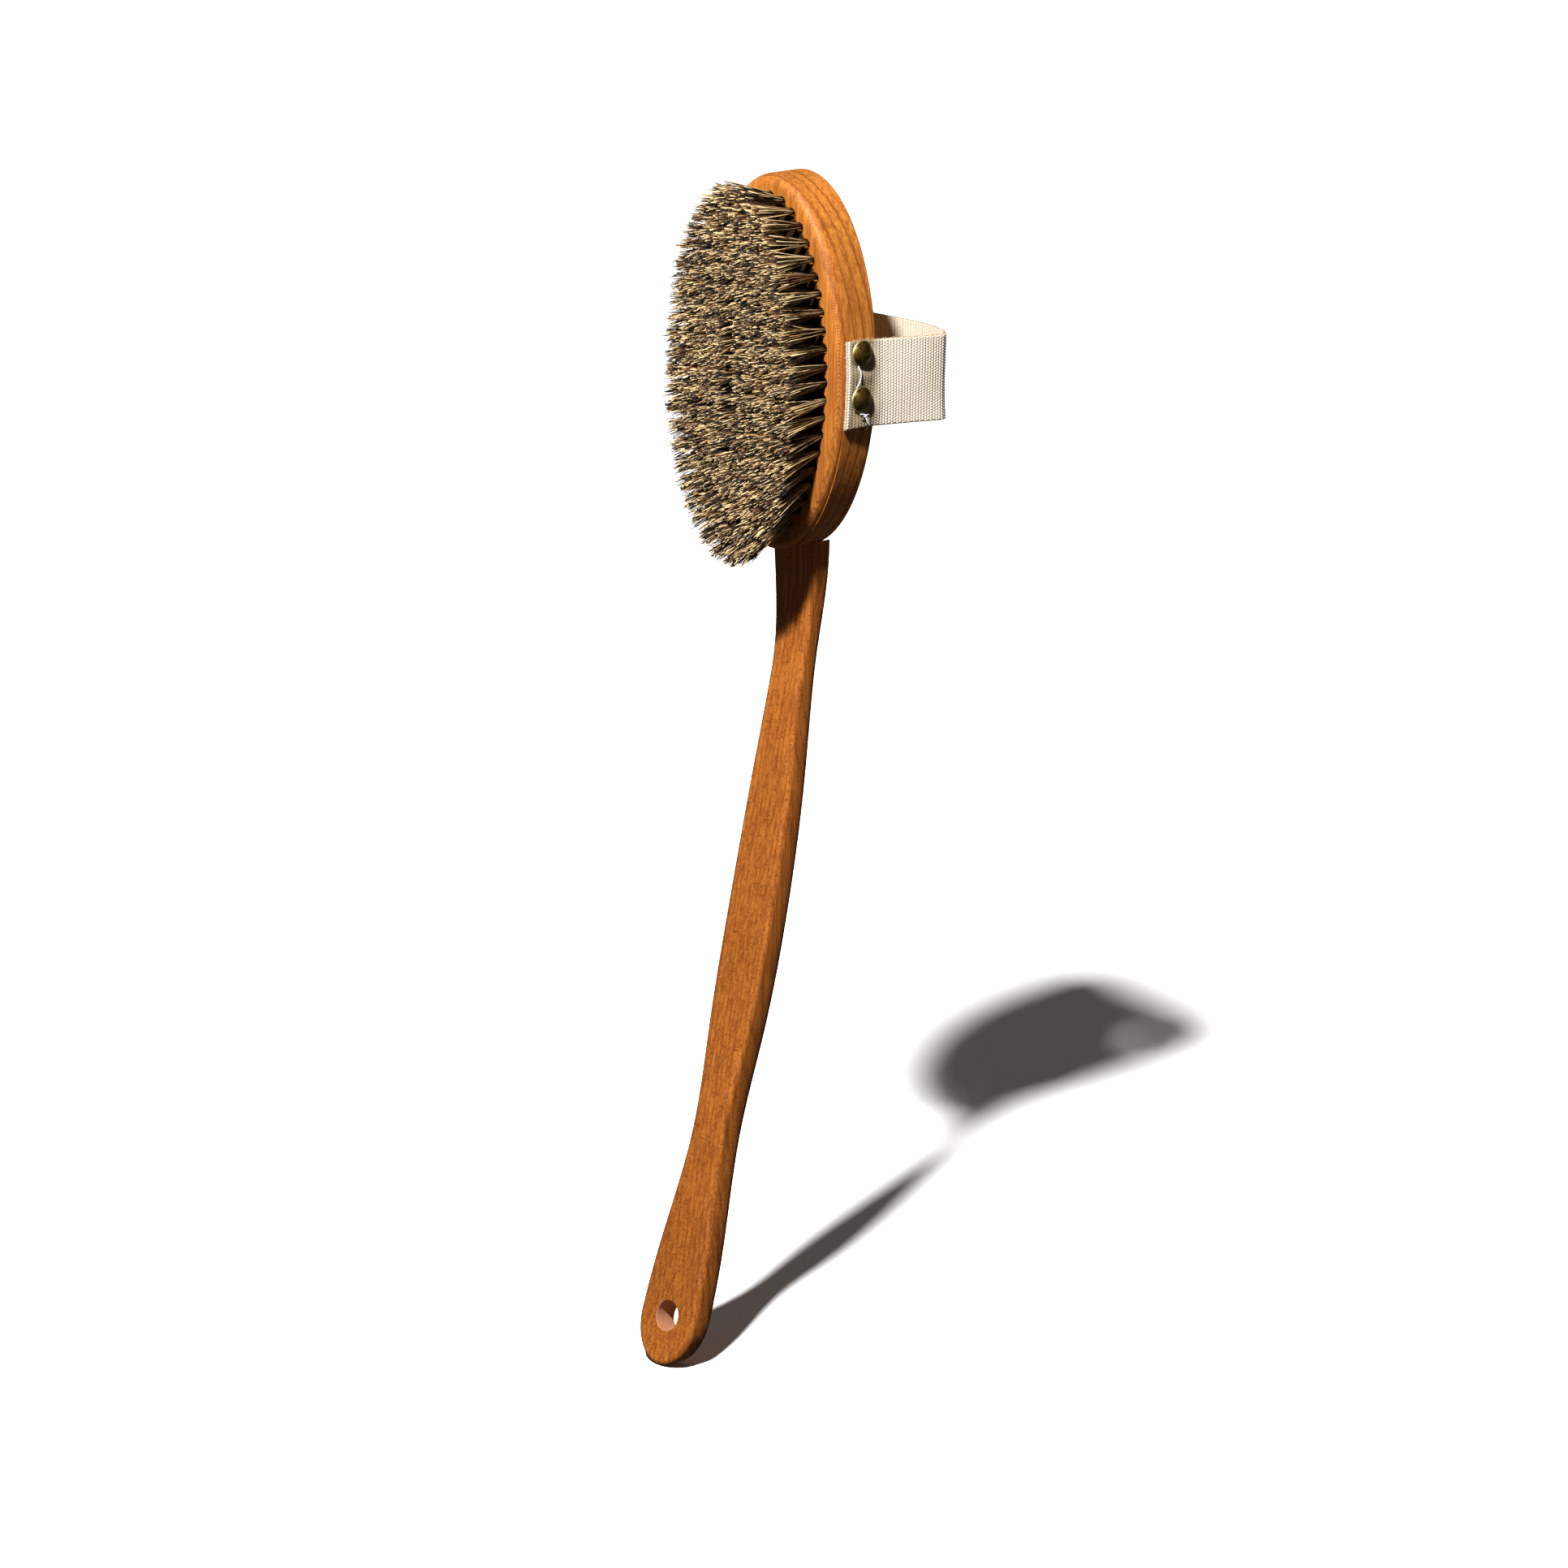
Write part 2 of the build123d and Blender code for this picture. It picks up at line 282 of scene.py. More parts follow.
def makeBeech(name, years, layers, flecks, gripFalloffShade, tint):
    look = beechLook
    made, tree, shader = newMaterial(name, look["roughness"], specular=look["specular"])
    where = objectPlace(tree)
    figure = [ringFigure(tree, where, facts) for facts in (years, layers)]
    timber = figure[0]
    marks = place(tree, handling, Place=where, Size=0.02)
    colour = mixedColour(tree, ease(tree, timber["Grain"], 0.38, 0.62), look["deep"], look["pale"])
    spot = threeParts(tree, where)
    for rings, facts in zip(figure, (years, layers)):
        depth = facts["depth"]
        if "upTo" in facts:  # the finest layers show where the rounded front edge cuts them flat
            depth = ease(tree, spot["Y"], facts["upTo"], facts["upTo"] + facts["fade"], depth, depth * 0.1)
        colour = mixedColour(tree, sums(tree, "MULTIPLY", rings["Rings"], depth), colour, look["ring"])
    colour = mixedColour(tree, sums(tree, "MULTIPLY", timber["Flecks"], flecks), colour, look["fleck"])
    tone = ease(tree, timber["Blotches"], 0.3, 0.7, 0.86, 1.1)
    if gripFalloffShade:  # painted shade: the grip darkens towards its free end, standing in for the lamp's light falling off there
        dimmer = ease(tree, spot["Z"], look["gripFrom"], look["gripTo"], gripFalloffShade, 0.98)
        tone = sums(tree, "MULTIPLY", tone, dimmer)
    colour = toned(tree, colour, tone)
    colour = mixedColour(tree, 1.0, colour, tint, blend="MULTIPLY")
    if gripFalloffShade:
        # painted shade on the back edges of the handle's sides
        colour = shadedBackEdge(tree, colour, spot)
        colour = bareHole(tree, colour, where)
    else:
        # painted shade on the wood between the tufts
        colour = shadedFace(tree, colour, spot)
    feed(tree, shader.inputs["Base Color"], colour)
    rough = look["roughness"]
    feed(tree, shader.inputs["Roughness"], ease(tree, timber["Grain"], 0.3, 0.7, rough + 0.12, rough))
    relief = sums(tree, "MULTIPLY_ADD", timber["Rings"], -0.5, timber["Grain"])
    relief = sums(tree, "MULTIPLY_ADD", marks["Mask"], 0.15, relief)
    bump(tree, shader, relief, 0.5, look["poreDepth"])
    return made


def shadedBackEdge(tree, colour, spot):  # painted shade: the sides darken towards the back, where the rounded back edge turns from the light
    tilt = frame["record"]["mounts"][0]["axis"]  # square to the handle's own line at its free end
    slope = sums(tree, "SUBTRACT", tilt[2], sums(tree, "DIVIDE", spot["Z"], gripCurve))
    rise = sums(tree, "SQRT", sums(tree, "SUBTRACT", 1.0, sums(tree, "MULTIPLY", slope, slope)))
    middle = sums(tree, "MULTIPLY", sums(tree, "ADD", rise, tilt[1]), gripCurve)
    depth = sums(tree, "SUBTRACT", spot["Y"], middle)
    facing = threeParts(tree, addNode(tree, "ShaderNodeTexCoord").outputs["Normal"])
    onSide = ease(tree, sums(tree, "ABSOLUTE", facing["X"]), 0.3, 0.8)
    dark = sums(tree, "MULTIPLY", onSide, ease(tree, depth, -0.0022, 0.0046))
    return mixedColour(tree, sums(tree, "MULTIPLY", dark, beechLook["backShadeShare"]), colour, beechLook["darkening"])


def bareHole(tree, colour, where):  # the drilled wall of the hanging hole has no oil on it
    hole = frame["record"]["mounts"][0]
    axis = tuple(hole["axis"])
    radius = hole["dims"]["r_mm"] / 1000
    along = vectorSums(tree, "DOT_PRODUCT", where, axis, out=1)
    scaled = addNode(tree, "ShaderNodeVectorMath", operation="SCALE")
    scaled.inputs[0].default_value = axis
    feed(tree, scaled.inputs["Scale"], along)
    off = vectorSums(tree, "LENGTH", vectorSums(tree, "SUBTRACT", where, scaled.outputs[0]), out=1)
    inside = ease(tree, off, radius + 0.0001, radius + 0.0003, 1.0, 0.0)
    return mixedColour(tree, sums(tree, "MULTIPLY", inside, beechLook["bareShare"]), colour, beechLook["bare"])


def shadedFace(tree, colour, spot):  # painted shade: the wood between the tufts is blackened where the tufts shade it
    low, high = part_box("head_block")
    halfX, halfZ = (high.x - low.x) / 2 - 0.0082, (high.z - low.z) / 2 - 0.0076  # inside the rounded edge
    x = sums(tree, "DIVIDE", spot["X"], halfX)
    z = sums(tree, "DIVIDE", sums(tree, "SUBTRACT", spot["Z"], (low.z + high.z) / 2), halfZ)
    inside = ease(tree, lengthOf(tree, x, z), 0.985, 1.015, 1.0, 0.0)
    front = ease(tree, spot["Y"], low.y + 0.0008, low.y + 0.0016, 1.0, 0.0)
    black = sums(tree, "MULTIPLY", sums(tree, "MULTIPLY", inside, front), beechLook["tuftGapShadeShare"])
    return mixedColour(tree, black, colour, beechLook["tuftGapShade"])


headTimber = {
    "years": {"pith": (0.004, 0.160, 0.36), "lean": (0.0, 0.02, 0), "pitch": 0.0044,
              "wander": 0.0012, "depth": 0.7},
    "layers": {"pith": (-0.058, 0.145, 0.36), "lean": (-0.155, 0.155, 0), "pitch": 0.00034,
               "wander": 0.0006, "depth": 1.0, "upTo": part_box("head_block")[0].y + 0.0036, "fade": 0.0015},
    "flecks": 0.12, "gripFalloffShade": 0, "tint": (1, 1, 1, 1),
}
handleTimber = {
    "years": {"pith": (0.07, 0.04, 0.1), "lean": (0.01, 0.03, 0), "pitch": 0.0021,
              "wander": 0.0016, "depth": 0.40},
    "layers": {"pith": (0.09, -0.03, 0.1), "lean": (-0.02, 0.01, 0), "pitch": 0.0006,
               "wander": 0.0010, "depth": 0.5},
    # the grip's darkening towards its free end is painted shade
    "flecks": 0.65, "gripFalloffShade": 0.95, "tint": (0.97, 0.86, 0.80, 1),
}
headBeech = makeBeech("headBeech", **headTimber)
handleBeech = makeBeech("handleBeech", **handleTimber)

brassLook = {
    # the rim colour is a painted reflection round the cap's edge
    "base": linear(108, 86, 38), "patina": linear(44, 33, 13), "rim": linear(190, 170, 126),
    "spots": linear(40, 32, 20), "roughness": 0.54,
}


def makeBrass():
    look = brassLook
    made, tree, shader = newMaterial("agedBrass", look["roughness"], metallic=1.0)
    marks = place(tree, handling, Place=objectPlace(tree), Size=0.0022)
    colour = mixedColour(tree, marks["Mask"], look["base"], look["patina"])
    colour = mixedColour(tree, marks["Specks"], colour, look["spots"])
    inBox = vectorSums(tree, "SUBTRACT", addNode(tree, "ShaderNodeTexCoord").outputs["Generated"], (0.5, 0.5, 0.5))
    flat = vectorSums(tree, "MULTIPLY", inBox, (0, 1, 1))
    rim = ease(tree, vectorSums(tree, "LENGTH", flat, out=1), 0.455, 0.49)  # painted reflection: brighter round the cap's edge
    colour = mixedColour(tree, rim, colour, look["rim"])
    feed(tree, shader.inputs["Base Color"], colour)
    rough = sums(tree, "MULTIPLY_ADD", marks["Mask"], 0.2, look["roughness"] - 0.04)
    feed(tree, shader.inputs["Roughness"], rough)
    bump(tree, shader, marks["Mask"], 0.3, 0.00008)
    return made


def makeWire(name, colour, dimmer, roughness):
    made, tree, shader = newMaterial(name, roughness, metallic=1.0)
    marks = place(tree, handling, Place=objectPlace(tree), Size=0.0015)
    feed(tree, shader.inputs["Base Color"], mixedColour(tree, marks["Mask"], colour, dimmer))
    bump(tree, shader, marks["Mask"], 0.3, 0.00005)
    return made


def makeFibre():
    made, tree, shader = newMaterial("plantFibre", 0.55, specular=0.35)
    shade = addNode(tree, "ShaderNodeAttribute", attribute_name="fibreShade").outputs["Color"]
    streak = speckle(tree, objectPlace(tree), (2500, 500, 2500), detail=2.0)
    feed(tree, shader.inputs["Base Color"], toned(tree, shade, ease(tree, streak, 0.3, 0.7, 0.78, 1.15)))
    bump(tree, shader, streak, 0.3, 0.0001)
    return made


webbingLook = {
    "cord": linear(255, 247, 226), "valleyShade": linear(176, 138, 92), "darkTan": linear(126, 102, 62),
    "roughness": 0.85, "specular": 0.2, "sheen": 0.12, "sheenRoughness": 0.5,
}


def makeWebbing():
    look = webbingLook
    made, tree, shader = newMaterial("cottonWebbing", look["roughness"], specular=look["specular"])
    shader.inputs["Sheen Weight"].default_value = look["sheen"]
    shader.inputs["Sheen Roughness"].default_value = look["sheenRoughness"]
    height = addNode(tree, "ShaderNodeAttribute", attribute_name="weaveHeight").outputs["Fac"]
    darkTan = addNode(tree, "ShaderNodeAttribute", attribute_name="darkerShare").outputs["Fac"]
    cloth = addNode(tree, "ShaderNodeUVMap", uv_map="bandPlace").outputs["UV"]
    yarn = speckle(tree, cloth, (5200, 2600, 1), detail=3.0, rough=0.7)
    marks = place(tree, handling, Place=objectPlace(tree), Size=0.009)
    # painted shade: the low parts of the weave take the darker valley colour
    colour = mixedColour(tree, ease(tree, height, 0.04, 0.48), look["valleyShade"], look["cord"])
    colour = toned(tree, colour, ease(tree, yarn, 0.25, 0.75, 0.94, 1.08))
    # the strap turns darker tan towards its cut end and on its inside
    darkening = sums(tree, "MULTIPLY", darkTan, sums(tree, "MULTIPLY_ADD", marks["Mask"], 0.2, 0.78))
    colour = mixedColour(tree, darkening, colour, look["darkTan"])
    feed(tree, shader.inputs["Base Color"], colour)
    bump(tree, shader, yarn, 0.6, 0.0002)
    return made


def makeThreadFinish():
    made, tree, shader = newMaterial("whiteThread", 0.7, specular=0.3)
    twist = addNode(tree, "ShaderNodeTexWave", wave_type="BANDS", bands_direction="DIAGONAL")
    feed(tree, twist.inputs["Vector"], objectPlace(tree))
    twist.inputs["Scale"].default_value = 900
    colour = mixedColour(tree, twist.outputs["Fac"], linear(206, 212, 224), linear(244, 247, 252))
    feed(tree, shader.inputs["Base Color"], colour)
    bump(tree, shader, twist.outputs["Fac"], 0.5, 0.0001)
    return made


agedBrass = makeBrass()
pinSteel = makeWire("pinSteel", linear(150, 150, 150), linear(96, 92, 88), 0.35)
stapleWire = makeWire("stapleWire", linear(160, 140, 96), linear(120, 98, 60), 0.4)
plantFibre = makeFibre()
cottonWebbing = makeWebbing()
whiteThread = makeThreadFinish()
print("finishes made")

for name, finish in (("head_block", headBeech), ("handle", handleBeech)):
    nodes[name].data.materials[0] = finish
for name, node in nodes.items():
    if name.startswith("stud_cap"):
        node.data.materials[0] = agedBrass
    if name.startswith("stud_pin"):
        node.data.materials[0] = pinSteel
    if name.startswith("tuft_staples"):
        node.data.materials[0] = stapleWire


# bristles
def meshPiece(name, points, faces, finish, smooth=True):
    mesh = bpy.data.meshes.new(name)
    mesh.from_pydata(points, [], faces)
    mesh.validate()
    if smooth:
        mesh.shade_smooth()
    made = bpy.data.objects.new(name, mesh)
    bpy.context.scene.collection.objects.link(made)
    mesh.materials.append(finish)
    return made


def islands(node):  # the points of each separate solid in a CAD node
    co = np.array([v.co for v in node.data.vertices])
    keys = {}
    same = np.array([keys.setdefault(tuple(p), len(keys)) for p in np.round(co, 6).tolist()])
    parent = list(range(len(keys)))

    def root(i):
        while parent[i] != i:
            parent[i] = parent[parent[i]]
            i = parent[i]
        return i

    for edge in node.data.edges:
        a, b = root(same[edge.vertices[0]]), root(same[edge.vertices[1]])
        parent[a] = b
    groups = {}
    for index, key in enumerate(same):
        groups.setdefault(root(key), []).append(index)
    return [np.unique(np.round(co[members], 6), axis=0) for members in groups.values()]


def tuftLine(points):  # the middle of a tuft's buried end and of its tip
    axis = np.array((0.0, -1.0, 0.0))
    for _ in range(4):
        along = points @ axis
        foot = points[along < along.min() + 2e-4].mean(0)
        tip = points[along > along.max() - 2e-4].mean(0)
        axis = (tip - foot) / np.linalg.norm(tip - foot)
    return foot, tip, axis


bristleMix = {
    "perTuft": 92, "thick": 0.000175, "taper": 0.3, "rootSpread": 0.00088, "flare": 2.75, "uneven": 0.0010,
    "rimShort": 0.0008, "bend": 0.0007, "kink": 0.00018, "droop": 0.0005, "strayShare": 0.03, "strayBend": 2.2,
    "scatter": 0.03, "outerLean": 0.09, "sunk": 0.0012, "rootShade": 0.4,
    "shades": (linear(240, 210, 154), linear(178, 138, 84), linear(96, 58, 28), linear(32, 19, 11),
               linear(8, 6, 5)),
    "shares": (0.24, 0.17, 0.17, 0.20, 0.22),
    "levels": (0.0, 0.16, 0.4, 0.7, 1.0), "sides": 4, "ovalHalf": (0.037, 0.068),
}


def acrossTuft(angle, sideways, upward):  # a direction square to a tuft
    return math.cos(angle) * sideways + math.sin(angle) * upward


def bristleRing(number, chance):
    mix = bristleMix
    node = nodes[f"bristle_tufts_ring_{number}"]
    low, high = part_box("head_block")
    faceY, middleZ = low.y, (low.z + high.z) / 2
    halfX, halfZ = mix["ovalHalf"]
    levels, sides = mix["levels"], mix["sides"]
    allPoints, allShades, allFaces = [], [], []
    start = 0
    for points in sorted(islands(node), key=lambda p: (round(p[:, 2].mean(), 5), round(p[:, 0].mean(), 5))):
        foot, tip, axis = tuftLine(points)
        base = foot + axis * ((faceY - foot[1]) / axis[1])
        reach = np.linalg.norm(tip - base)
        sideways = np.cross(axis, (0, 0, 1.0))
        sideways /= np.linalg.norm(sideways)
        upward = np.cross(sideways, axis)
        tuftTone = chance.uniform(0.85, 1.12)
        outward = np.array((base[0] / halfX, 0, (base[2] - middleZ) / halfZ))
        outward /= np.linalg.norm(outward)
        lean = outward * mix["outerLean"] * (0.45 + 0.55 * max(0, -outward[2])) / number**2
        for _ in range(mix["perTuft"]):
            out, turn = math.sqrt(chance.random()), chance.uniform(0, 2 * math.pi)
            spoke = acrossTuft(turn, sideways, upward) * out * mix["rootSpread"]
            stray = chance.random() < mix["strayShare"]
            long = reach + chance.normal(0, mix["uneven"]) * 0.6 - (mix["rimShort"] if out > 0.8 else 0)
            bendWay = chance.uniform(0, 2 * math.pi)
            bend = acrossTuft(bendWay, sideways, upward) * abs(chance.normal(0, mix["bend"]))
            bend = bend * (mix["strayBend"] if stray else 1)
            bend = bend + np.array((0, 0, -mix["droop"])) * chance.uniform(0.2, 1.4)
            aim = ((sideways * chance.normal() + upward * chance.normal()) * mix["scatter"] + lean) * long
            girth = mix["thick"] * chance.uniform(0.75, 1.2)
            kink = acrossTuft(bendWay + 2, sideways, upward) * chance.normal(0, mix["kink"])
            tones = mix["shades"][chance.choice(len(mix["shades"]), p=mix["shares"])]
            tone = np.array(tones[:3]) * chance.uniform(0.75, 1.2) * tuftTone
            twist = chance.uniform(0, math.pi / 2)
            for t in levels:
                lift = -mix["sunk"] if t == 0 else long * t
                spread = spoke * (1 + mix["flare"] * t)
                middle = base + axis * lift + spread + aim * t + bend * t * t + kink * math.sin(math.pi * t)
                size = girth * (1 - mix["taper"] * t)
                # painted shade: each fibre darkens towards its root, deep inside the tuft
                dark = min(1.0, mix["rootShade"] + 0.9 * t)
                for corner in range(sides):
                    angle = twist + corner * 2 * math.pi / sides
                    allPoints.append(middle + acrossTuft(angle, sideways, upward) * size)
                    allShades.append((*(tone * dark), 1.0))
            for level in range(len(levels) - 1):
                for corner in range(sides):
                    a = start + level * sides + corner
                    b = start + level * sides + (corner + 1) % sides
                    allFaces.append((a, b, b + sides, a + sides))
            allFaces.append(tuple(start + c for c in reversed(range(sides))))
            allFaces.append(tuple(start + (len(levels) - 1) * sides + c for c in range(sides)))
            start += len(levels) * sides
    made = meshPiece(f"bristles_{number}", np.array(allPoints).tolist(), allFaces, plantFibre)
    shades = made.data.color_attributes.new("fibreShade", "FLOAT_COLOR", "POINT")
    shades.data.foreach_set("color", np.array(allShades, np.float32).ravel())
    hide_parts(node.name)
    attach(made, "head")


for number in range(1, 6):
    bristleRing(number, np.random.default_rng(40 + number))
print("bristles made")


# the webbing hand strap
strapCut = {
    "thick": 0.0016, "column": 0.00139, "loop": 0.0010, "relief": 0.00030, "along": 0.00028, "across": 0.000234,
    "sag": 0.0030, "cornerRound": 0.0042, "conform": 0.9, "endFlare": 0.0012, "pathStep": 0.00005,
    "studDent": 0.0007, "studPucker": 0.00012, "cup": 0.0003, "edgeRound": 0.0007, "innerDarker": 0.42,
}


def strapPath():  # the strap's middle line seen from above, from the near cut end round to the far one
    low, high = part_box("strap")
    half = strapCut["thick"] / 2
    legX, backY, topY = high.x - half, high.y - 0.0088, high.y - half
    bulge = topY - backY
    corner = strapCut["cornerRound"]
    line = [(legX, low.y + 0.0001), (legX + 0.0002, low.y + 0.015), (legX, low.y + 0.03)]
    line.append((legX - 0.0004, backY - corner))
    for turn in np.linspace(0.18, 1, 5)[:-1] * math.pi / 2:
        line.append((legX - 0.0006 - corner * (1 - math.cos(turn)), backY - corner + corner * math.sin(turn) * 1.1))
    for share in np.linspace(-0.86, 0, 9):
        line.append((-share * legX, backY + bulge * (1 - abs(share) ** 2.4) + 0.0002))
    line = np.array(line)
    other = line[::-1][1:] * (-1, 1)
    return smoothLine(np.vstack([line, other]), strapCut["pathStep"])


def smoothLine(corners, step):  # a rounded line through the points, evenly stepped
    for _ in range(4):
        cut = []
        for a, b in zip(corners, corners[1:]):
            cut += [a * 0.75 + b * 0.25, a * 0.25 + b * 0.75]
        corners = np.array([corners[0]] + cut + [corners[-1]])
    gaps = np.linalg.norm(np.diff(corners, axis=0), axis=1)
    far = np.concatenate([[0], np.cumsum(gaps)])
    wanted = np.arange(0, far[-1], step)
    return np.stack([np.interp(wanted, far, corners[:, k]) for k in range(corners.shape[1])], 1)


def weave(along, across):  # plain weave: columns of fat loops, every other column half a loop lower
    cut = strapCut
    column = np.floor(along / cut["column"])
    loops = 0.5 + 0.5 * np.cos(2 * np.pi * (across / cut["loop"] + 0.5 * (column % 2)))
    pad = np.abs(np.sin(np.pi * along / cut["column"]))
    return pad**0.75 * (0.32 + 0.68 * loops**0.8)


def studLine():
    low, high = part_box("stud_cap_right_upper")
    return (low.y + high.y) / 2


def studHeights():
    boxes = [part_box("stud_cap_right_upper"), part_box("stud_cap_right_lower")]
    return [(low.z + high.z) / 2 for low, high in boxes]


def strapMesh():
    cut = strapCut
    low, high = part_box("strap")
    headLow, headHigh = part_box("head_block")
    wallX, wallZ = (headHigh.x - headLow.x) / 2, (headHigh.z - headLow.z) / 2
    middleZ = (headHigh.z + headLow.z) / 2
    path = strapPath()
    path = path[::max(1, round(cut["along"] / cut["pathStep"]))]
    heading = np.gradient(path, axis=0)
    heading /= np.linalg.norm(heading, axis=1)[:, None]
    outward = np.stack([heading[:, 1], -heading[:, 0]], 1)
    lengths = np.concatenate([[0], np.cumsum(np.linalg.norm(np.diff(path, axis=0), axis=1))])
    columns = np.linspace(0, high.z - low.z, round((high.z - low.z) / cut["across"]) + 1)
    s, w = np.meshgrid(lengths, columns, indexing="ij")
    z = low.z + w
    px, py = path[:, 0][:, None], path[:, 1][:, None]
    side = np.sign(px)
    near = np.clip((0.095 - py) / 0.045, 0, 1)
    z = z - cut["sag"] * (1 - near) ** 1.2
    atEnd, lowDown = np.clip((0.058 - py) / 0.012, 0, 1), np.clip(0.6 - w / columns[-1], 0, 1)
    z = z - cut["endFlare"] * atEnd**1.5 * lowDown
    dz = np.clip((z - middleZ) / wallZ, -0.95, 0.95)
    recess = wallX * (1 - np.sqrt(1 - dz * dz))
    grip = np.clip((0.078 - py) / 0.03, 0, 1)
    grip = grip * grip * (3 - 2 * grip) * cut["conform"]
    ripple = 0.00025 * np.sin(s * 170 + w * 60) + 0.0002 * np.sin(s * 95 - w * 140 + 1.0)
    for height in studHeights():  # the studs pull the webbing in, and it puckers between them
        away = np.hypot(z - height, py - studLine())
        ripple = ripple - cut["studDent"] * np.exp(-((away / 0.0062) ** 4))
        ripple = ripple + cut["studPucker"] * np.exp(-(((away - 0.0092) / 0.0022) ** 2))
    fray = np.clip((0.0505 - py) / 0.003, 0, 1)
    crosswise = (w - w.mean()) / (columns[-1] / 2)
    cup = cut["cup"] * crosswise**2
    edge = np.clip(np.minimum(w, columns[-1] - w) / cut["edgeRound"], 0, 1)
    edgeRound = np.sqrt(1 - (1 - edge) ** 2)
    surfaces = []
    heights = []
    for way in (1, -1):
        high01 = weave(s + (0 if way > 0 else 0.0004), w)
        flatHalf = (cut["thick"] / 2 - cut["relief"]) * (0.35 + 0.65 * edgeRound)
        lift = way * flatHalf + way * cut["relief"] * high01 * edgeRound
        shift = lift + (ripple + cup) * (1 - 0.7 * fray) - 0.0001
        x = px + outward[:, 0][:, None] * shift - side * recess * grip
        y = py + outward[:, 1][:, None] * shift
        surfaces.append(np.stack([x, y + np.zeros_like(x), z], -1))
        heights.append(high01 * edgeRound)
    rows, cols = s.shape
    points = np.concatenate([p.reshape(-1, 3) for p in surfaces])
    index = np.arange(rows * cols).reshape(rows, cols)
    outer = np.stack([index[:-1, :-1], index[1:, :-1], index[1:, 1:], index[:-1, 1:]], -1).reshape(-1, 4)
    inner = outer[:, ::-1] + rows * cols
    rim = np.concatenate([index[0, :], index[1:, -1], index[-1, -2::-1], index[-2:0:-1, 0]])
    follow = np.roll(rim, -1)
    wall = np.stack([rim, follow, follow + rows * cols, rim + rows * cols], -1)
    faces = np.concatenate([outer, inner, wall])
    made = meshPiece("hand_strap", points.tolist(), faces.tolist(), cottonWebbing)
    mesh = made.data
    weaveHeight = mesh.attributes.new("weaveHeight", "FLOAT", "POINT")
    weaveHeight.data.foreach_set("value", np.concatenate([h.ravel() for h in heights]).astype(np.float32))
    pastCut = np.clip((py - low.y - 0.0009) / 0.0008, 0, 1)  # the darker end stops short of the cut edge itself
    darkerEnd = np.clip((0.063 - py) / 0.006, 0, 1) * pastCut + np.zeros_like(s)
    darkerShare = mesh.attributes.new("darkerShare", "FLOAT", "POINT")
    dimmer = np.clip(darkerEnd.ravel() + cut["innerDarker"], 0, 1)  # the inside is made a set share darker
    darkerShare.data.foreach_set("value", np.concatenate([darkerEnd.ravel(), dimmer]).astype(np.float32))
    layout = mesh.uv_layers.new(name="bandPlace")
    spots = np.stack([s.ravel(), w.ravel()], 1)
    spots = np.concatenate([spots, spots + (0.31, 0.17)])
    corners = np.zeros(len(mesh.loops), np.int32)
    mesh.loops.foreach_get("vertex_index", corners)
    layout.data.foreach_set("uv", spots[corners].astype(np.float32).ravel())
    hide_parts("strap")
    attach(made, "head")
    print("strap length", round(float(lengths[-1]), 4))
    return surfaces


strapSurfaces = strapMesh()


def hairs(name, roots, ways, lengths, girth, finish, chance):  # short loose fibres standing off an edge
    points, faces = [], []
    for root, way, length in zip(roots, ways, lengths):
        way = np.array(way) / np.linalg.norm(way)
        aside = np.cross(way, (0.3, 0.5, 0.8))
        aside /= np.linalg.norm(aside)
        other = np.cross(way, aside)
        curl = (aside * chance.normal() + other * chance.normal()) * length * 0.35
        first = len(points)
        for t in (0, 0.35, 0.7, 1):
            middle = np.array(root) + way * length * t + curl * t * t
            for k in range(3):
                angle = k * 2 * math.pi / 3
                points.append(middle + (aside * math.cos(angle) + other * math.sin(angle)) * girth * (1 - 0.5 * t))
        for level in range(3):
            for k in range(3):
                a, b = first + level * 3 + k, first + level * 3 + (k + 1) % 3
                faces.append((a, b, b + 3, a + 3))
        faces.append((first + 2, first + 1, first))
        faces.append((first + 9, first + 10, first + 11))
    made = meshPiece(name, np.array(points).tolist(), faces, finish)
    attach(made, "head")
    return made


fuzz = {"atCuts": 420, "onBand": 900, "selvedgeShare": 0.45, "thick": 0.000045}


def strapFuzz():
    chance = np.random.default_rng(7)
    roots, ways, lengths = [], [], []
    for end in (0, -1):  # yarn ends along both cut edges
        outerLine, innerLine = strapSurfaces[0][end], strapSurfaces[1][end]
        for _ in range(fuzz["atCuts"]):
            k = chance.integers(1, len(outerLine) - 1)
            share = chance.random()
            roots.append(outerLine[k] * share + innerLine[k] * (1 - share) + (0, 0.0004, 0))
            ways.append((chance.normal(0, 0.35), -1, chance.normal(0, 0.3)))
            lengths.append(chance.uniform(0.0004, 0.0011))
    count = len(strapSurfaces[0])
    for _ in range(fuzz["onBand"]):  # a light nap over the band and its selvedges
        k = chance.integers(2, count - 2)
        edge = chance.random() < fuzz["selvedgeShare"]
        j = chance.choice((0, -1)) if edge else chance.integers(0, strapSurfaces[0].shape[1])
        which = chance.integers(0, 2)
        root = strapSurfaces[which][k, j]
        off = strapSurfaces[which][k, j] - strapSurfaces[1 - which][k, j]
        off = off / max(np.linalg.norm(off), 1e-6)
        if edge:
            off = off * 0.4 + np.array((0, 0, -1.0 if j == 0 else 1.0))
        roots.append(root)
        ways.append(off + chance.normal(0, 0.7, 3))
        lengths.append(chance.uniform(0.0003, 0.0008))
    made = hairs("strap_fuzz", roots, ways, lengths, fuzz["thick"], fuzzFinish, chance)


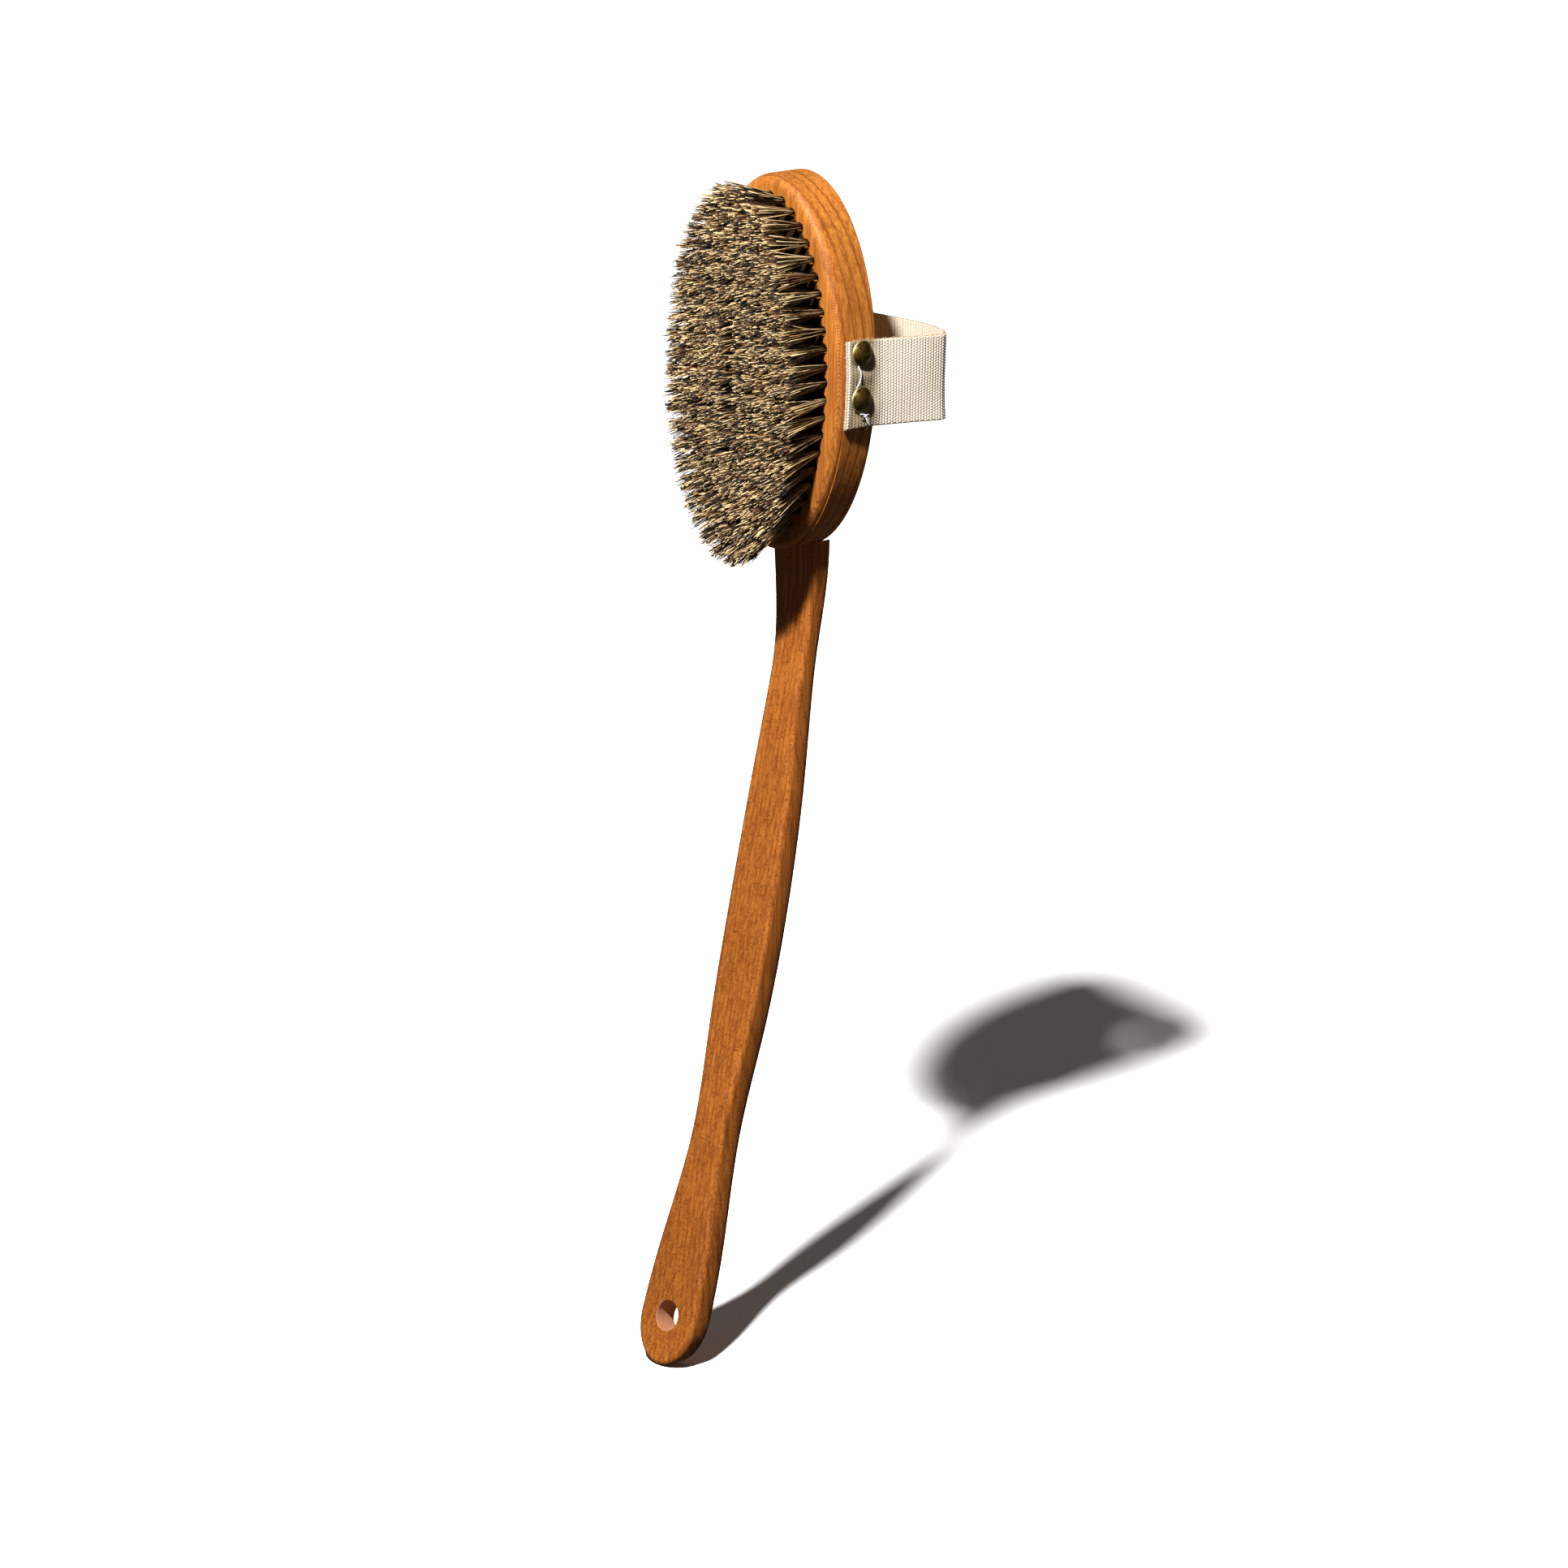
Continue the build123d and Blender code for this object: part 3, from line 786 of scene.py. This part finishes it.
def makeFuzz():
    made, tree, shader = newMaterial("cottonFuzz", 0.9, specular=0.1)
    tint = speckle(tree, objectPlace(tree), (700, 700, 700), detail=1.0)
    colour = mixedColour(tree, tint, linear(214, 198, 170), linear(246, 238, 222))
    feed(tree, shader.inputs["Base Color"], colour)
    return made


fuzzFinish = makeFuzz()
strapFuzz()
print("strap made")


# tacking thread
def threadLine(name, points, girth):
    curve = bpy.data.curves.new(name, "CURVE")
    curve.dimensions = "3D"
    curve.bevel_depth = girth
    curve.bevel_resolution = 3
    curve.use_fill_caps = True
    spline = curve.splines.new("NURBS")
    spline.points.add(len(points) - 1)
    for spot, point in zip(spline.points, points):
        spot.co = (*point, 1)
    spline.order_u = 3
    spline.use_endpoint_u = True
    spline.resolution_u = 8
    curve.materials.append(whiteThread)
    made = bpy.data.objects.new(name, curve)
    bpy.context.scene.collection.objects.link(made)
    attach(made, "head")
    return made


threadCut = {  # the stitch is placed from the upper stud, the tails from the knot
    "stitch": ((-0.0008, -0.0018, -0.0036), (0.0002, -0.0019, -0.0047), (0.0006, -0.0011, -0.0066),
               (0.0006, -0.0012, -0.0088), (0.0004, -0.0021, -0.0113), (-0.0006, -0.0022, -0.0123)),
    "stitchThick": 0.00025, "knotThick": 0.00024, "knotBelow": 0.0058, "knotSteps": 14,
    "tails": ((0.0024, -0.0036, 0.00022), (-0.0024, 0.0008, 0.00024), (0.0019, 0.0002, 0.00013),
              (0.0021, -0.0012, 0.00011), (0.0014, -0.0030, 0.00012), (0.0028, -0.0026, 0.0001)),
}


def tackingThread():
    cut = threadCut
    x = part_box("strap_thread")[0].x + 0.0001
    y = studLine()
    upper, lower = studHeights()
    path = [(x + dx, y + dy, upper + dz) for dx, dy, dz in cut["stitch"]]
    stitch = threadLine("thread_stitch", path, cut["stitchThick"])
    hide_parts("strap_thread")
    knotY, knotZ = y + 0.0008, lower - cut["knotBelow"]
    loop = []
    for k in range(cut["knotSteps"] + 1):  # an overhand knot, drawn tight
        share = k / cut["knotSteps"]
        turn = share * 4 * math.pi
        loop.append((
            x + 0.0005 + 0.0004 * math.cos(turn * 0.5),
            knotY + 0.0007 * math.cos(turn),
            knotZ + 0.0006 * math.sin(turn) + 0.0006 * (share - 0.5)))
    threadLine("thread_knot", loop, cut["knotThick"])
    for number, (dy, dz, girth) in enumerate(cut["tails"]):
        threadLine(f"thread_tail_{number + 1}", [
            (x + 0.0005, knotY, knotZ),
            (x + 0.0011, knotY + dy * 0.4, knotZ + dz * 0.6 + 0.0003),
            (x + 0.0008, knotY + dy, knotZ + dz)], girth)


tackingThread()
print("thread made")


# floor, light and camera
floorLook = {"reach": 30, "dull": (0.88, 0.88, 0.88, 1), "clean": (0.92, 0.92, 0.92, 1)}


def layFloor():
    base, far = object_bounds()[0].z, floorLook["reach"]
    corners = [(-far, -far, base), (far, -far, base), (far, far, base), (-far, far, base)]
    floor = meshPiece("floor", corners, [(0, 1, 2, 3)], floorPaint(), smooth=False)
    floor.visible_diffuse = False
    floor.visible_glossy = False
    floor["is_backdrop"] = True
    return floor


def floorPaint():
    made, tree, shader = newMaterial("paleFloor", 0.9, specular=0.0)
    grain = speckle(tree, objectPlace(tree), (6, 6, 6), detail=2.0)
    feed(tree, shader.inputs["Base Color"], mixedColour(tree, grain, floorLook["dull"], floorLook["clean"]))
    return made


studio = {
    "towardsLamp": (0.349, -0.63, 0.694), "lampAway": 1.12, "lampSize": 0.042, "onObject": 119.0,
    "onFloor": 190.0, "floorLampSize": 0.066,
    "towardsBack": (-0.50, 0.86, 0.06), "behind": 32.0, "behindSize": 0.25,
    "room": (0.080, 0.072, 0.067),
}


def lamp(name, towards, size, power, lit, state, glossy=True):  # lights only the objects listed, or all but them
    low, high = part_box("head_block")
    light = bpy.data.lights.new(name, "POINT")
    light.energy = power
    light.shadow_soft_size = size
    made = bpy.data.objects.new(name, light)
    made.location = (low + high) / 2 + Vector(towards).normalized() * studio["lampAway"]
    bpy.context.scene.collection.objects.link(made)
    reach = bpy.data.collections.new(name + "Reach")
    for thing in lit:
        reach.objects.link(thing)
    for entry in reach.collection_objects:
        entry.light_linking.link_state = state
    made.light_linking.receiver_collection = reach
    made.visible_glossy = glossy
    return light


def setLight(floor):
    key = studio["towardsLamp"]
    lamp("keyLamp", key, studio["lampSize"], studio["onObject"], [floor], "EXCLUDE")
    lamp("backFill", studio["towardsBack"], studio["behindSize"], studio["behind"], [floor], "EXCLUDE", glossy=False)
    even = lamp("floorLamp", key, studio["floorLampSize"], studio["onFloor"], [floor], "INCLUDE")
    even.use_nodes = True
    tree = even.node_tree  # an even strength keeps the floor white far from the lamp
    falloff = addNode(tree, "ShaderNodeLightFalloff")
    falloff.inputs["Strength"].default_value = 1
    feed(tree, tree.nodes["Emission"].inputs["Strength"], falloff.outputs["Constant"])
    world = bpy.data.worlds.new("room")
    world.use_nodes = True
    tree = world.node_tree
    back = tree.nodes["Background"]
    seen = addNode(tree, "ShaderNodeLightPath").outputs["Is Camera Ray"]
    feed(tree, back.inputs["Color"], mixedColour(tree, seen, (*studio["room"], 1), (1, 1, 1, 1)))
    bpy.context.scene.world = world


viewpoint = {
    "around": 46.742, "up": 15.123, "roll": 0.446, "away": 2.1096, "centre": (0, 0.0607, 0.1912),
    "aim": (-0.0043, 0.0561, 0.1912), "lens": 132.73, "sensor": 36,
}


def setCamera():
    view = viewpoint
    around, up, roll = (math.radians(view[turn]) for turn in ("around", "up", "roll"))
    back = Vector((math.sin(around) * math.cos(up), -math.cos(around) * math.cos(up), math.sin(up)))
    eye = Vector(view["centre"]) + back * view["away"]
    back = (eye - Vector(view["aim"])).normalized()
    right = Vector((0, 0, 1)).cross(back).normalized()
    above = back.cross(right)
    right, above = right * math.cos(roll) + above * math.sin(roll), above * math.cos(roll) - right * math.sin(roll)
    lens = bpy.data.cameras.new("camera")
    lens.lens = view["lens"]
    lens.sensor_width = view["sensor"]
    camera = bpy.data.objects.new("camera", lens)
    camera.matrix_world = Matrix.Translation(eye) @ Matrix((right, above, back)).transposed().to_4x4()
    bpy.context.scene.collection.objects.link(camera)
    bpy.context.scene.camera = camera


setLight(layFloor())
setCamera()
bpy.context.scene.view_settings.view_transform = "Standard"
print("stage set")
